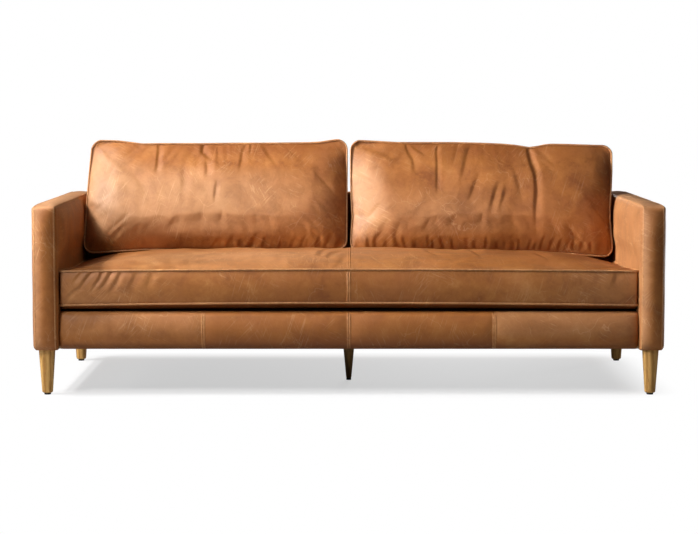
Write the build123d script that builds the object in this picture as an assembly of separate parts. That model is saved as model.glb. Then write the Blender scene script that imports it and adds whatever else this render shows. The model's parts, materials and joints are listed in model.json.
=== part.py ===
from build123d import *
import math
import os

# Three-seat leather sofa: a timber frame with sprung seat, thin padded arms and back, one bench seat
# cushion, two loose back cushions, four round tapered legs and a centre leg.
# Millimetres. The front faces -Y, up is +Z, the floor is Z = 0 and left is -X.

# Overall sizes
width = 2060.0                  # over both arms
depth = 900.0                   # arm fronts to the outside back
arm_height = 622.0              # floor to the welts on top of the arms and the back
leg_height = 150.0              # floor to the underside of the body
arm_thickness = 78.0            # over the leather
apron_setback = 30.0            # apron and seat cushion behind the arm fronts
apron_top = 277.0               # floor to the top of the apron
back_top_thickness = 125.0      # back at its top, over the leather
recline = 12.0                  # lean of the inside back, degrees

# Leather and padding
hide = 3.0                      # leather with its backing
pad = 12.0                      # padding round the arms and the back
apron_pad = 8.0                 # padding in front of the front rail
back_pad = 14.0                 # padding on the inside back
arm_corner_radius = 18.0        # boxing at the top front corner of an arm
welt_radius = 2.5
welt_proud = 1.0                # how far the welts stand out of the leather
welt_shift = 1.5                # welt centre from the joint of two panels
rear_corner_radius = 12.0       # rear welt at the top corners
apron_panels = 4                # pieces the apron is sewn from, side by side
seam_radius = 1.5               # half width of a sewn-in seam line

# Timber
post_depth = 54.0               # front posts, along Y
rear_post_depth = 72.0
arm_rail_height = 48.0
rail_thickness = 30.0           # front rail and rear rail
seat_rail_width = 60.0          # rail that carries the springs at the rear
seat_rail_front = 40.0          # spring rail in front of the back board
beam_width = 60.0
beam_height = 48.0
centre_post_width = 48.0
board_thickness = 6.0
block_leg = 90.0                # short sides of the corner blocks
dowel_diameter = 10.0
dowel_length = 40.0
dowel_clearance = 0.2

# Springs, deck and dust cover
spring_count = 12
spring_edge = 127.0             # middle of the outer springs to the arms
wire_radius = 1.9
spring_step = 24.0              # wanted distance between the runs of one spring
spring_run = 22.0               # straight part of each run
clip_width = 20.0
clip_depth = 14.0
clip_height = 8.5
clip_clearance = 0.25
deck_thickness = 8.0
dust_cover_thickness = 1.5

# Legs
leg_top_diameter = 54.5
leg_bottom_diameter = 35.5
leg_chamfer = 3.0
glide_diameter = 22.0
glide_height = 6.0
bolt_diameter = 8.0
bolt_in_leg = 42.0
bolt_in_frame = 38.0
bolt_clearance = 0.2
bolt_end_room = 5.0
insert_diameter = 13.0
insert_length = 26.0
insert_clearance = 0.2
centre_leg_y = -85.0
centre_leg_top_diameter = 45.0
centre_leg_bottom_diameter = 18.0
foot_diameter = 17.0
foot_height = 6.0
stem_diameter = 8.0
stem_length = 40.0
stem_clearance = 0.3
stem_end_room = 2.0

# Seat cushion
seat_side_gap = 8.0             # seat cushion to each arm
seat_rear_gap = 8.0             # seat cushion to the inside back at its lower welt
seat_drop = 24.0                # resting face to the lower welt
seat_border = 107.0             # lower welt to upper welt
seat_crown = 32.0
seat_pull = 4.0                 # how far the front and rear are drawn in between the corners
seat_bulge = 4.0                # border swell
seat_corner_radius = 22.0
seat_zip_length = 1100.0

# Back cushions
cushion_side_gap = 10.0         # back cushion to the arm
cushion_welt_gap = 0.75         # between the welts of the two back cushions
cushion_height = 386.0
cushion_drop = 22.0             # resting face to the rear welt
cushion_border = 128.0          # rear welt to front welt
cushion_crown = 40.0
cushion_pull = 8.0              # how far the top is drawn in between its corners
cushion_heel = 22.0             # underside raised at the rear welt, where it is pressed on the seat
cushion_bulge = 5.0
cushion_corner_radius = 32.0
cushion_zip_length = 640.0

# Shared by the cushions
edge_slope = 60.0               # resting face to the border, along the face
cover_wall = 3.0
core_gap = 0.6                  # cover to core
soft_gap = 0.5                  # cushion to what it rests on
welt_gap = 0.3                  # body welt to its groove
edge_gap = 0.5                  # cushion welt to the cushion edge that it runs along
zip_pocket_height = 30.0
zip_pocket_depth = 7.0
zip_pocket_wall = 3.0
zip_tape_width = 26.0
zip_tape_thickness = 1.2
zip_chain_width = 5.0
zip_chain_height = 2.2
zip_end_room = 1.0
slider_length = 14.0
slider_width = 10.0
slider_height = 4.0
slider_gap = 0.4
slider_tab_length = 36.0
slider_tab_width = 7.0
slider_tab_thickness = 1.2
slider_from_end = 12.0          # slider to the end of the chain when closed
panel_gap = 0.3                 # back and apron panels to the arm panels

# Places that follow from the sizes
half = width / 2
lean = math.radians(recline)
skin_front = -depth / 2 + welt_proud
skin_rear = depth / 2 - welt_proud
skin_top = arm_height - welt_proud
arm_inner = half - arm_thickness
post_in = arm_inner + hide + pad
post_out = half - hide - pad
post_mid = (post_in + post_out) / 2
timber_front = skin_front + hide + pad
timber_rear = skin_rear - hide - pad
timber_top = skin_top - hide - pad
post_back = timber_front + post_depth
rear_post_front = timber_rear - rear_post_depth
front_leg_y = timber_front + post_depth / 2
rear_leg_y = timber_rear - rear_post_depth / 2
apron_front = -depth / 2 + apron_setback
rail_front = apron_front + hide + apron_pad
rail_back = rail_front + rail_thickness
rail_top = apron_top - hide - pad
rail_bottom = leg_height + hide
rear_rail_front = timber_rear - rail_thickness
beam_top = rail_bottom + beam_height
deck_bottom = rail_top + clip_height
deck_top = deck_bottom + deck_thickness
inner_half = arm_inner - panel_gap
welt_depth = welt_radius - welt_proud
welt_out = (welt_radius + edge_gap) * math.sqrt(0.5)
welt_reach = welt_out + welt_radius
cushion_middle_gap = 2 * welt_reach + cushion_welt_gap


def inside_y(z):
    return depth / 2 - back_top_thickness - (arm_height - z) * math.tan(lean)


def slant(thickness):
    return thickness / math.cos(lean)


board_front = inside_y(rail_top) + slant(hide + back_pad)
seat_rail_y0 = board_front - seat_rail_front
seat_rail_y1 = seat_rail_y0 + seat_rail_width
top_rail_front = inside_y(timber_top) + slant(hide + back_pad + board_thickness) + panel_gap
arm_rail_bottom = timber_top - arm_rail_height

os.makedirs("parts", exist_ok=True)


# Small builders
def save(node, *shapes):
    solids = [s for shape in shapes for s in shape.solids()]
    export_step(solids[0] if len(solids) == 1 else Compound(solids), f"parts/{node}.step")


def block(x0, x1, y0, y1, z0, z1):
    return Pos((x0 + x1) / 2, (y0 + y1) / 2, (z0 + z1) / 2) * Box(x1 - x0, y1 - y0, z1 - z0)


def rod(radius, x, y, z0, z1):
    return Pos(x, y, (z0 + z1) / 2) * Cylinder(radius, z1 - z0)


def side_prism(points, x0, x1):
    face = make_face(Plane.YZ.offset(x0) * Polyline(*points, close=True))
    return extrude(face, amount=x1 - x0, dir=(1, 0, 0))


def tube(edges, radius):
    path = Wire(edges)
    return sweep(Plane(path @ 0, z_dir=path % 0) * Circle(radius), path=path)


def largest(piece):
    # drops the thread-thin strips that a groove leaves at the edge of a panel
    return max(piece.solids(), key=lambda solid: solid.volume)


def other_side(shape):
    return mirror(shape, about=Plane.YZ)


# Timber frame, with dowels in every butt joint
front_rail = block(-post_in, post_in, rail_front, rail_back, rail_bottom, rail_top)
rear_rail = block(-post_in, post_in, rear_rail_front, timber_rear, rail_bottom, rail_top)
rear_seat_rail = block(-post_in, post_in, seat_rail_y0, seat_rail_y1, beam_top, rail_top)
centre_beam = block(-beam_width / 2, beam_width / 2, rail_back, rear_rail_front, rail_bottom, beam_top)
back_top_rail = block(-post_in, post_in, top_rail_front, timber_rear, arm_rail_bottom, timber_top)
back_centre_post = block(
    -centre_post_width / 2, centre_post_width / 2, rear_rail_front, timber_rear, rail_top, arm_rail_bottom
)
front_post = block(post_in, post_out, timber_front, post_back, leg_height, timber_top)
rear_post = block(post_in, post_out, rear_post_front, timber_rear, leg_height, timber_top)
end_rail = block(post_in, post_out, post_back, rear_post_front, rail_bottom, rail_top)
arm_rail = block(post_in, post_out, post_back, rear_post_front, arm_rail_bottom, timber_top)

rail_levels = [rail_bottom + (rail_top - rail_bottom) * f for f in (0.5, 0.8)]
front_joint_y = (rail_front + post_back) / 2
rear_joint_y = (rear_rail_front + timber_rear) / 2
arm_rail_z = (arm_rail_bottom + timber_top) / 2
seat_rail_z = (beam_top + rail_top) / 2
seat_rail_y = (seat_rail_y0 + seat_rail_y1) / 2
beam_z = (rail_bottom + beam_top) / 2
top_joint_y = (max(top_rail_front, rear_post_front) + timber_rear) / 2
spread = dowel_diameter * 1.2

dowel_places = []
for side in (-1, 1):
    for z in rail_levels:
        dowel_places.append(((side * post_in, front_joint_y, z), (1, 0, 0)))
        dowel_places.append(((side * post_in, rear_joint_y, z), (1, 0, 0)))
        dowel_places.append(((side * (post_mid + dowel_diameter / 2), post_back, z), (0, 1, 0)))
        dowel_places.append(((side * (post_mid + dowel_diameter / 2), rear_post_front, z), (0, 1, 0)))
    for shift in (-spread, spread):
        dowel_places.append(((side * (post_mid + shift), post_back, arm_rail_z), (0, 1, 0)))
        dowel_places.append(((side * (post_mid + shift), rear_post_front, arm_rail_z), (0, 1, 0)))
        dowel_places.append(((side * post_in, top_joint_y + dowel_length / 4 + shift, arm_rail_z), (1, 0, 0)))
        dowel_places.append(((side * post_in, seat_rail_y + shift, seat_rail_z), (1, 0, 0)))
for shift in (-spread, spread):
    dowel_places.append(((shift, rail_back, beam_z), (0, 1, 0)))
    dowel_places.append(((shift, rear_rail_front, beam_z), (0, 1, 0)))
    dowel_places.append(((shift, rear_joint_y, rail_top), (0, 0, 1)))
    dowel_places.append(((shift, rear_joint_y, arm_rail_bottom), (0, 0, 1)))

dowels = []
holes = []
for place, axis in dowel_places:
    at = Plane(place, z_dir=axis)
    dowels.append(at * Cylinder(dowel_diameter / 2, dowel_length))
    holes.append(at * Cylinder(dowel_diameter / 2 + dowel_clearance, dowel_length + 2 * dowel_clearance))


def drilled(timber):
    box = timber.bounding_box()
    near = [h for h in holes if h.bounding_box().overlaps(box)]
    return timber - near if near else timber


insert_hole = insert_diameter / 2 + insert_clearance
bolt_hole = bolt_diameter / 2 + bolt_clearance
bolt_top_room = bolt_in_frame + bolt_end_room


def bolt_bore(x, y, z):
    return [rod(insert_hole, x, y, z, z + insert_length), rod(bolt_hole, x, y, z, z + bolt_top_room)]


front_post -= bolt_bore(post_mid, front_leg_y, leg_height)
rear_post -= bolt_bore(post_mid, rear_leg_y, leg_height)
centre_beam -= bolt_bore(0, centre_leg_y, rail_bottom)

save("front_rail", drilled(front_rail))
save("rear_rail", drilled(rear_rail))
save("rear_seat_rail", drilled(rear_seat_rail))
save("centre_beam", drilled(centre_beam))
save("back_top_rail", drilled(back_top_rail))
save("back_centre_post", drilled(back_centre_post))
for name, timber in (("front_post", front_post), ("rear_post", rear_post), ("end_rail", end_rail),
                     ("arm_rail", arm_rail)):
    save("right_" + name, drilled(timber))
    save("left_" + name, drilled(other_side(timber)))
save("frame_dowels", *dowels)

corner_blocks = []
for side in (-1, 1):
    for y, way in ((rail_back, 1), (rear_rail_front, -1)):
        corner = (side * post_in, y)
        corners = [corner, (side * (post_in - block_leg), y), (side * post_in, y + way * block_leg)]
        triangle = make_face(Plane.XY.offset(rail_bottom) * Polyline(*corners, close=True))
        corner_blocks.append(extrude(triangle, amount=beam_height, dir=(0, 0, 1)))
save("corner_blocks", *corner_blocks)

board_points = [
    (inside_y(rail_top) + slant(hide + back_pad), rail_top),
    (inside_y(timber_top) + slant(hide + back_pad), timber_top),
    (inside_y(timber_top) + slant(hide + back_pad + board_thickness), timber_top),
    (inside_y(rail_top) + slant(hide + back_pad + board_thickness), rail_top),
]
save("back_board", side_prism(board_points, -inner_half, inner_half))

# Springs: flat zigzag wires from the front rail to the spring rail, held in clips
wire_z = rail_top + clip_height / 2
spring_y0 = (rail_front + rail_back) / 2
spring_y1 = seat_rail_y0 + clip_depth
turns = round((spring_y1 - spring_y0) / spring_step)
turn = (spring_y1 - spring_y0) / turns
run = spring_run / 2

edges = []
for i in range(turns + 1):
    y = spring_y0 + i * turn
    way = 1 if i % 2 == 0 else -1
    edges.append(Line((-way * run, y, wire_z), (way * run, y, wire_z)))
    if i < turns:
        bend = (way * (run + turn / 2), y + turn / 2, wire_z)
        edges.append(ThreePointArc((way * run, y, wire_z), bend, (way * run, y + turn, wire_z)))
spring = tube(edges, wire_radius)
clip = Box(clip_width, clip_depth, clip_height)
clip -= Rot(0, 90, 0) * Cylinder(wire_radius + clip_clearance, clip_width * 2)
spring_pitch = 2 * (arm_inner - spring_edge) / (spring_count - 1)
spring_xs = [(i - (spring_count - 1) / 2) * spring_pitch for i in range(spring_count)]
save("seat_springs", *[Pos(x, 0, 0) * spring for x in spring_xs])
clips = [Pos(x, y, wire_z) * clip for x in spring_xs for y in (spring_y0, spring_y1)]
save("spring_clips", *clips)
deck_rear = board_front - panel_gap
save("seat_deck", block(-inner_half, inner_half, rail_back, deck_rear, deck_bottom, deck_top))

# Dust cover, with a hole for the centre leg
dust_bottom = rail_bottom - dust_cover_thickness
dust_cover = block(-post_in, post_in, rail_back + panel_gap, timber_rear, dust_bottom, rail_bottom)
dust_cover -= rod(centre_leg_top_diameter / 2 + panel_gap, 0, centre_leg_y, dust_bottom - 1, rail_bottom + 1)
save("dust_cover", dust_cover)

# Legs, bolts, threaded inserts, glides and the centre leg with its levelling foot
taper = leg_height - glide_height
leg = Pos(0, 0, glide_height + taper / 2) * Cone(leg_bottom_diameter / 2, leg_top_diameter / 2, taper)
leg = chamfer(leg.edges().group_by(Axis.Z)[0], leg_chamfer)
leg -= rod(bolt_hole, 0, 0, leg_height - bolt_in_leg - bolt_end_room, leg_height)
leg_spots = {
    "front_left_leg": (-post_mid, front_leg_y),
    "front_right_leg": (post_mid, front_leg_y),
    "rear_left_leg": (-post_mid, rear_leg_y),
    "rear_right_leg": (post_mid, rear_leg_y),
}
glides = []
bolts = []
inserts = []
bolt_spots = [(x, y, leg_height) for x, y in leg_spots.values()] + [(0, centre_leg_y, rail_bottom)]
for name, (x, y) in leg_spots.items():
    save(name, Pos(x, y, 0) * leg)
    glides.append(rod(glide_diameter / 2, x, y, 0, glide_height))
for x, y, z in bolt_spots:
    bolts.append(rod(bolt_diameter / 2, x, y, z - bolt_in_leg, z + bolt_in_frame))
    sleeve = rod(insert_diameter / 2, x, y, z, z + insert_length)
    inserts.append(sleeve - rod(bolt_hole, x, y, z, z + insert_length))
save("leg_glides", *glides)
save("leg_bolts", *bolts)
save("leg_inserts", *inserts)

foot_top = foot_height + stem_clearance
rise = rail_bottom - foot_top
centre_leg = Pos(0, 0, foot_top + rise / 2) * Cone(
    centre_leg_bottom_diameter / 2, centre_leg_top_diameter / 2, rise
)
centre_leg -= rod(bolt_hole, 0, 0, rail_bottom - bolt_in_leg - bolt_end_room, rail_bottom)
centre_leg -= rod(stem_diameter / 2 + stem_clearance, 0, 0, foot_top, foot_height + stem_length + stem_end_room)
save("centre_leg", Pos(0, centre_leg_y, 0) * centre_leg)
foot = rod(foot_diameter / 2, 0, 0, 0, foot_height)
foot += rod(stem_diameter / 2, 0, 0, foot_height, foot_height + stem_length)
save("centre_leg_foot", Pos(0, centre_leg_y, 0) * foot)


# Arms: padding over the timber, inside and outside panels, boxing over front and top, welts
def arm_face(inset, x):
    front = skin_front + inset
    top = skin_top - inset
    radius = arm_corner_radius - inset
    rear = skin_rear - hide
    outline = [
        Polyline((front + radius, top), (rear, top), (rear, leg_height), (front, leg_height), (front, top - radius)),
        RadiusArc((front, top - radius), (front + radius, top), radius),
    ]
    return make_face([Plane.YZ.offset(x) * line for line in outline])


def arm_slab(inset, x0, x1):
    return extrude(arm_face(inset, x0), amount=x1 - x0, dir=(1, 0, 0))


def arm_welt_path(x):
    front = skin_front + welt_depth
    top = skin_top - welt_depth
    radius = arm_corner_radius - welt_depth
    rear = skin_rear - welt_depth - 2 * welt_radius
    mid = radius * (1 - math.sqrt(0.5))
    return [
        Line((x, front, leg_height), (x, front, top - radius)),
        ThreePointArc((x, front, top - radius), (x, front + mid, top - mid), (x, front + radius, top)),
        Line((x, front + radius, top), (x, rear, top)),
    ]


inner_welt_x = arm_inner + hide + welt_shift
outer_welt_x = half - hide - welt_shift
arm_welts = [tube(arm_welt_path(x), welt_radius) for x in (inner_welt_x, outer_welt_x)]
arm_grooves = [tube(arm_welt_path(x), welt_radius + welt_gap) for x in (inner_welt_x, outer_welt_x)]

# Rear welt up both rear corners and across the top, and the welt at the top of the inside back
rear_x = half - welt_radius
rear_y = skin_rear - welt_depth
rear_z = skin_top - welt_depth
rear_welt_path = FilletPolyline(
    (-rear_x, rear_y, leg_height), (-rear_x, rear_y, rear_z), (rear_x, rear_y, rear_z), (rear_x, rear_y, leg_height),
    radius=rear_corner_radius,
)
rear_welt = tube(rear_welt_path.edges(), welt_radius)
rear_groove = tube(rear_welt_path.edges(), welt_radius + welt_gap)
front_y = inside_y(skin_top) + welt_radius
top_welt_edge = [Line((-inner_half, front_y, rear_z), (inner_half, front_y, rear_z))]
top_welt = tube(top_welt_edge, welt_radius)
top_groove = tube(top_welt_edge, welt_radius + welt_gap)

under_deck = block(arm_inner - 1, post_in, apron_front, depth / 2, leg_height - 1, deck_top)
top_rail_way = block(
    arm_inner - 1, post_in, top_rail_front - panel_gap, timber_rear + panel_gap,
    arm_rail_bottom - panel_gap, timber_top + panel_gap,
)
arm_cavity = block(post_in, post_out, timber_front, timber_rear, leg_height - 1, timber_top)
arm_cuts = arm_grooves + [rear_groove, under_deck, top_rail_way]
arm_inside = arm_slab(0, arm_inner, arm_inner + hide) - arm_cuts
arm_outside = arm_slab(0, half - hide, half) - arm_cuts
boxing_fill = arm_slab(hide, arm_inner + hide, half - hide)
arm_boxing = arm_slab(0, arm_inner + hide, half - hide) - boxing_fill - arm_grooves - [rear_groove]
arm_pad = boxing_fill - arm_cavity - arm_cuts
for name, piece in (("arm_inside_panel", arm_inside), ("arm_outside_panel", arm_outside),
                    ("arm_boxing", arm_boxing), ("arm_pad", arm_pad)):
    save("right_" + name, piece)
    save("left_" + name, other_side(piece))
save("body_piping", *arm_welts, *[other_side(w) for w in arm_welts], rear_welt, top_welt)

# Apron: leather round the front rail with three sewn seams, over a pad
apron = block(-inner_half, inner_half, apron_front, rail_back, leg_height, apron_top)
apron -= block(-inner_half, inner_half, apron_front + hide, rail_back, leg_height + hide, apron_top - hide)
apron_seams = [(2 * i / apron_panels - 1) * arm_inner for i in range(1, apron_panels)]
apron -= [rod(seam_radius, x, apron_front, leg_height, apron_top) for x in apron_seams]
save("front_apron", apron)
front_pad = block(-inner_half, inner_half, apron_front + hide, rail_back, rail_bottom, apron_top - hide)
front_pad -= block(-post_in, post_in, rail_front, rail_back, rail_bottom, rail_top)
clip_room = [block(-inner_half, inner_half, spring_y0 - clip_depth, rail_back, rail_top, apron_top)]
save("front_apron_pad", front_pad - clip_room)

# Back: padding over the board, rails and outside, inside panel, top strip and outside panel
back_pad_points = [
    (inside_y(deck_top) + slant(hide), deck_top),
    (inside_y(skin_top - hide) + slant(hide), skin_top - hide),
    (skin_rear - hide, skin_top - hide),
    (skin_rear - hide, leg_height),
    (timber_rear, leg_height),
    (timber_rear, timber_top),
    (inside_y(timber_top) + slant(hide + back_pad), timber_top),
    (inside_y(deck_top) + slant(hide + back_pad), deck_top),
]
inside_points = [
    (inside_y(deck_top), deck_top),
    (inside_y(skin_top - hide), skin_top - hide),
    (inside_y(skin_top - hide) + slant(hide), skin_top - hide),
    (inside_y(deck_top) + slant(hide), deck_top),
]
back_grooves = [rear_groove, top_groove]
save("back_pad", side_prism(back_pad_points, -inner_half, inner_half) - back_grooves)
save("back_inside_panel", side_prism(inside_points, -inner_half, inner_half) - [top_groove])
top_strip = block(-inner_half, inner_half, inside_y(skin_top), skin_rear - hide, skin_top - hide, skin_top)
save("back_top_strip", largest(top_strip - back_grooves))
outside_back = block(-half, half, skin_rear - hide, skin_rear, leg_height, skin_top)
save("back_outside_panel", largest(outside_back - [rear_groove]))


# Cushions. A cushion lies on Z = 0 with its crown up; its long way is X. The front is -Y.
def fullness(u):
    return math.sqrt(max(0.0, 1 - min(1.0, abs(u)) ** 4))


class Boxed:
    def __init__(self, long, deep, drop, border, crown, pulls, bulges, radius, heel):
        self.half = long / 2
        self.deep = deep / 2
        self.drop = drop
        self.border = border
        self.crown = crown
        self.pulls = pulls
        self.bulges = bulges
        self.radius = radius
        self.heel = heel
        self.flat = self.half - radius - cover_wall

    def drawn(self, side, u):
        return self.pulls[side] * (1 - min(1.0, abs(u)) ** 2)

    def top_at(self, y):
        reach = self.deep
        bow = (reach ** 2 + self.crown ** 2) / (2 * self.crown)
        return self.drop + self.border + self.crown - bow + math.sqrt(max(0.0, bow ** 2 - y ** 2))

    def section(self, x, u, inset):
        k = fullness(u)
        rest = 0 if abs(u) > 0.999 else 1
        y0 = -(self.deep - inset - self.drawn(0, u))
        y1 = self.deep - inset - self.drawn(1, u)
        low = self.drop + inset * 0.5
        high = self.drop + self.border - inset
        base = inset if rest else low
        foot = edge_slope
        heel = y0 + self.heel
        corners = [(heel, low), (y0, high), (y1, high), (y1, low), (y1 - foot, base), (heel + foot, base)]
        swells = [(-self.bulges[0] * k, 0), (0, self.crown * k), (self.bulges[1] * k, 0), None, None, None]
        lines = []
        for i, swell in enumerate(swells):
            a = corners[i]
            b = corners[(i + 1) % len(corners)]
            if swell and abs(swell[0]) + abs(swell[1]) > 0.01:
                mid = ((a[0] + b[0]) / 2 + swell[0], (a[1] + b[1]) / 2 + swell[1])
                lines.append(ThreePointArc(a, mid, b))
            else:
                lines.append(Line(a, b))
        return make_face([Plane.YZ.offset(x) * line for line in lines])

    def form(self, inset):
        end = self.half - inset
        stations = [(-end, -1), (-self.flat, -1)]
        stations += [(self.flat * u, u) for u in (-0.95, -0.82, -0.55, -0.28, 0, 0.28, 0.55, 0.82, 0.95)]
        stations += [(self.flat, 1), (end, 1)]
        body = loft([self.section(x, u, inset) for x, u in stations], ruled=True)
        ends = [e for e in body.edges() if abs(abs(e.center().X) - end) < 0.01]
        ends = [e for e in ends if e.bounding_box().size.Z > self.border / 2]
        return fillet(ends, self.radius - inset)

    def welts(self):
        return [self.welt(self.drop - welt_out, self.heel), self.welt(self.drop + self.border + welt_out, 0)]

    def welt(self, z, heel):
        half_x = self.half + welt_out
        corner = self.radius + welt_out
        points = []
        for side, way in ((0, -1), (1, 1)):
            turn_in = 2 * math.atan2(self.pulls[side], self.half - self.radius)
            x = half_x - corner * (1 + math.sin(turn_in))
            reach = self.deep - (0 if side else heel)
            centre_y = way * (reach + welt_out - corner)
            y = centre_y + way * corner * math.cos(turn_in)
            sag = x * math.tan(turn_in / 2)
            points.append((x, y, y - way * sag, centre_y))
        (x0, y0, m0, c0), (x1, y1, m1, c1) = points
        k = corner * math.sqrt(0.5)
        cx = half_x - corner
        front = ThreePointArc((-x0, y0, z), (0, m0, z), (x0, y0, z)) if m0 != y0 else Line((-x0, y0, z), (x0, y0, z))
        rear = ThreePointArc((x1, y1, z), (0, m1, z), (-x1, y1, z)) if m1 != y1 else Line((x1, y1, z), (-x1, y1, z))
        path = [
            Line((half_x, 0, z), (half_x, c1, z)),
            ThreePointArc((half_x, c1, z), (cx + k, c1 + k, z), (x1, y1, z)),
            rear,
            ThreePointArc((-x1, y1, z), (-cx - k, c1 + k, z), (-half_x, c1, z)),
            Line((-half_x, c1, z), (-half_x, c0, z)),
            ThreePointArc((-half_x, c0, z), (-cx - k, c0 - k, z), (-x0, y0, z)),
            front,
            ThreePointArc((x0, y0, z), (cx + k, c0 - k, z), (half_x, c0, z)),
            Line((half_x, c0, z), (half_x, 0, z)),
        ]
        return tube(path, welt_radius)


def build_cushion(name, shape, zip_side, zip_length, place, seams):
    way = 1 if zip_side else -1
    heel = 0 if zip_side else shape.heel * (0.5 + zip_pocket_height / shape.border / 2)
    floor_y = shape.deep - shape.pulls[zip_side] - heel - zip_pocket_depth
    zip_z = shape.drop + shape.border / 2
    reach = zip_length / 2
    tall = zip_pocket_height / 2

    def across(x0, x1, d0, d1, z0, z1):
        a, b = sorted((way * d0, way * d1))
        return block(x0, x1, a, b, zip_z + z0, zip_z + z1)

    outside = shape.deep + 20
    pocket = across(-reach, reach, floor_y, outside, -tall, tall)
    walls = across(
        -reach - zip_pocket_wall, reach + zip_pocket_wall, floor_y - zip_pocket_wall, outside,
        -tall - zip_pocket_wall, tall + zip_pocket_wall,
    )
    room = across(
        -reach - zip_pocket_wall - core_gap, reach + zip_pocket_wall + core_gap,
        floor_y - zip_pocket_wall - core_gap, outside,
        -tall - zip_pocket_wall - core_gap, tall + zip_pocket_wall + core_gap,
    )
    cavity = shape.form(cover_wall) - walls
    core = shape.form(cover_wall + core_gap) - room
    cover = shape.form(0) - cavity - pocket
    if seams:
        cover -= seams
    tape_end = reach - zip_end_room
    tape = across(
        -tape_end, tape_end, floor_y, floor_y + zip_tape_thickness, -zip_tape_width / 2, zip_tape_width / 2
    )
    chain_top = floor_y + zip_tape_thickness + zip_chain_height
    chain = across(-tape_end, tape_end, floor_y, chain_top, -zip_chain_width / 2, zip_chain_width / 2)
    slider_x = tape_end - slider_from_end
    under = floor_y + zip_tape_thickness + slider_gap
    over = under + slider_height
    slider = across(slider_x - slider_length, slider_x, under, over, -slider_width / 2, slider_width / 2)
    slot = zip_chain_width / 2 + slider_gap
    slider -= across(slider_x - slider_length - 1, slider_x + 1, under - 1, chain_top + slider_gap, -slot, slot)
    tab_x = slider_x - slider_length / 2
    slider += across(
        tab_x - slider_tab_length, tab_x, over, over + slider_tab_thickness,
        -slider_tab_width / 2, slider_tab_width / 2,
    )
    save(name + "_cover", place * cover)
    save(name + "_core", place * core)
    save(name + "_piping", *[place * welt for welt in shape.welts()])
    save(name + "_zip", place * (tape + chain))
    save(name + "_zip_slider", place * slider)


# Seat cushion
seat_rest = deck_top + soft_gap
seat_front = apron_front + welt_reach
seat_rear = inside_y(seat_rest + seat_drop) - seat_rear_gap
seat_middle = (seat_front + seat_rear) / 2
seat = Boxed(
    2 * (arm_inner - seat_side_gap), seat_rear - seat_front, seat_drop, seat_border, seat_crown,
    (seat_pull, seat_pull), (seat_bulge, seat_bulge), seat_corner_radius, 0,
)
seat_upper = seat_drop + seat_border
seam_reach = seat.deep - seat_pull
centre_seam = tube(
    [ThreePointArc((0, -seam_reach, seat_upper), (0, 0, seat_upper + seat_crown), (0, seam_reach, seat_upper))],
    seam_radius,
)
build_cushion("seat_cushion", seat, 1, seat_zip_length, Pos(0, seat_middle, seat_rest), [centre_seam])

# Back cushions lean on the inside back and stand on the seat cushion
cushion_long = arm_inner - cushion_side_gap - cushion_middle_gap / 2
cushion = Boxed(
    cushion_long, cushion_height, cushion_drop, cushion_border, cushion_crown,
    (0, cushion_pull), (0, cushion_bulge), cushion_corner_radius, cushion_heel,
)


def cushion_point(along, out, climb):
    y = inside_y(0) - slant(soft_gap) + (along + climb) * math.sin(lean) - out * math.cos(lean)
    return y, (along + climb) * math.cos(lean) + out * math.sin(lean)


def seat_height(y):
    away = y - seat_middle
    top = seat_rest + seat.top_at(max(-seat.deep, min(seat.deep, away)))
    welt_y = seat_middle + seat.deep + welt_out
    welt_z = seat_rest + seat_upper + welt_out
    near = welt_radius ** 2 - (y - welt_y) ** 2
    if near > 0:
        top = max(top, welt_z + math.sqrt(near))
    return top if y < welt_y + welt_radius else 0.0


# climb the back until the lowest part of the cushion clears the seat by the soft gap
samples = 240
shares = [i / samples for i in range(samples + 1)]
climb = seat_rest
for i in range(12):
    heights = [
        cushion_point(cushion_heel * (1 - s) - welt_reach, cushion_drop + cushion_border * s, climb) for s in shares
    ]
    climb += (max(seat_height(y) - z for y, z in heights) + soft_gap) / math.cos(lean)

foot_y, foot_z = cushion_point(cushion_height / 2, 0, climb)
for name, side in (("left_back_cushion", -1), ("right_back_cushion", 1)):
    cushion_x = side * (cushion_middle_gap / 2 + cushion_long / 2)
    place = Pos(cushion_x, foot_y, foot_z) * Rot(90 - recline, 0, 0)
    build_cushion(name, cushion, 0, cushion_zip_length, place, [])

print("seat cushion", round(seat_rear - seat_front, 1), "deep, rests at", round(seat_rest, 2))
print("back cushion front foot at", [round(v, 1) for v in cushion_point(0, cushion_drop + cushion_border, climb)])
print("back cushion front top at", [
    round(v, 1) for v in cushion_point(cushion_height, cushion_drop + cushion_border, climb)])
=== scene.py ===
import bpy, bmesh, json, math, random
import numpy as np
from mathutils import Matrix, Vector, noise
from mathutils.bvhtree import BVHTree


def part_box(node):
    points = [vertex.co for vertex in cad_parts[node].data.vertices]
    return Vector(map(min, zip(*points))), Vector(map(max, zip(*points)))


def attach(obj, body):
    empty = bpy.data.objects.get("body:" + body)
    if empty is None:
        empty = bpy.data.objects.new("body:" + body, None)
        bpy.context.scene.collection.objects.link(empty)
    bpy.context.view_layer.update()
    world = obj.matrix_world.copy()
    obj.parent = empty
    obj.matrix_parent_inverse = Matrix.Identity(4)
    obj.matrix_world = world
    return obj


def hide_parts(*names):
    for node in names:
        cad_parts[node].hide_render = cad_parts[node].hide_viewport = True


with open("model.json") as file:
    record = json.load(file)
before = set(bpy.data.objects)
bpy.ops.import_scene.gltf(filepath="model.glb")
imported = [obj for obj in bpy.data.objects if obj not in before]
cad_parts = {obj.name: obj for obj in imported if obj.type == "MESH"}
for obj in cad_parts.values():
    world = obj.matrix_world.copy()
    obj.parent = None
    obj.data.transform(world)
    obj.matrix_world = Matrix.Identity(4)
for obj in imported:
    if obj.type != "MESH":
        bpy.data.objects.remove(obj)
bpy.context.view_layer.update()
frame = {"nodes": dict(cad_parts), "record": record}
scene = bpy.context.scene
nodes = frame["nodes"]
print("frame loaded:", len(nodes), "nodes")


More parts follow.
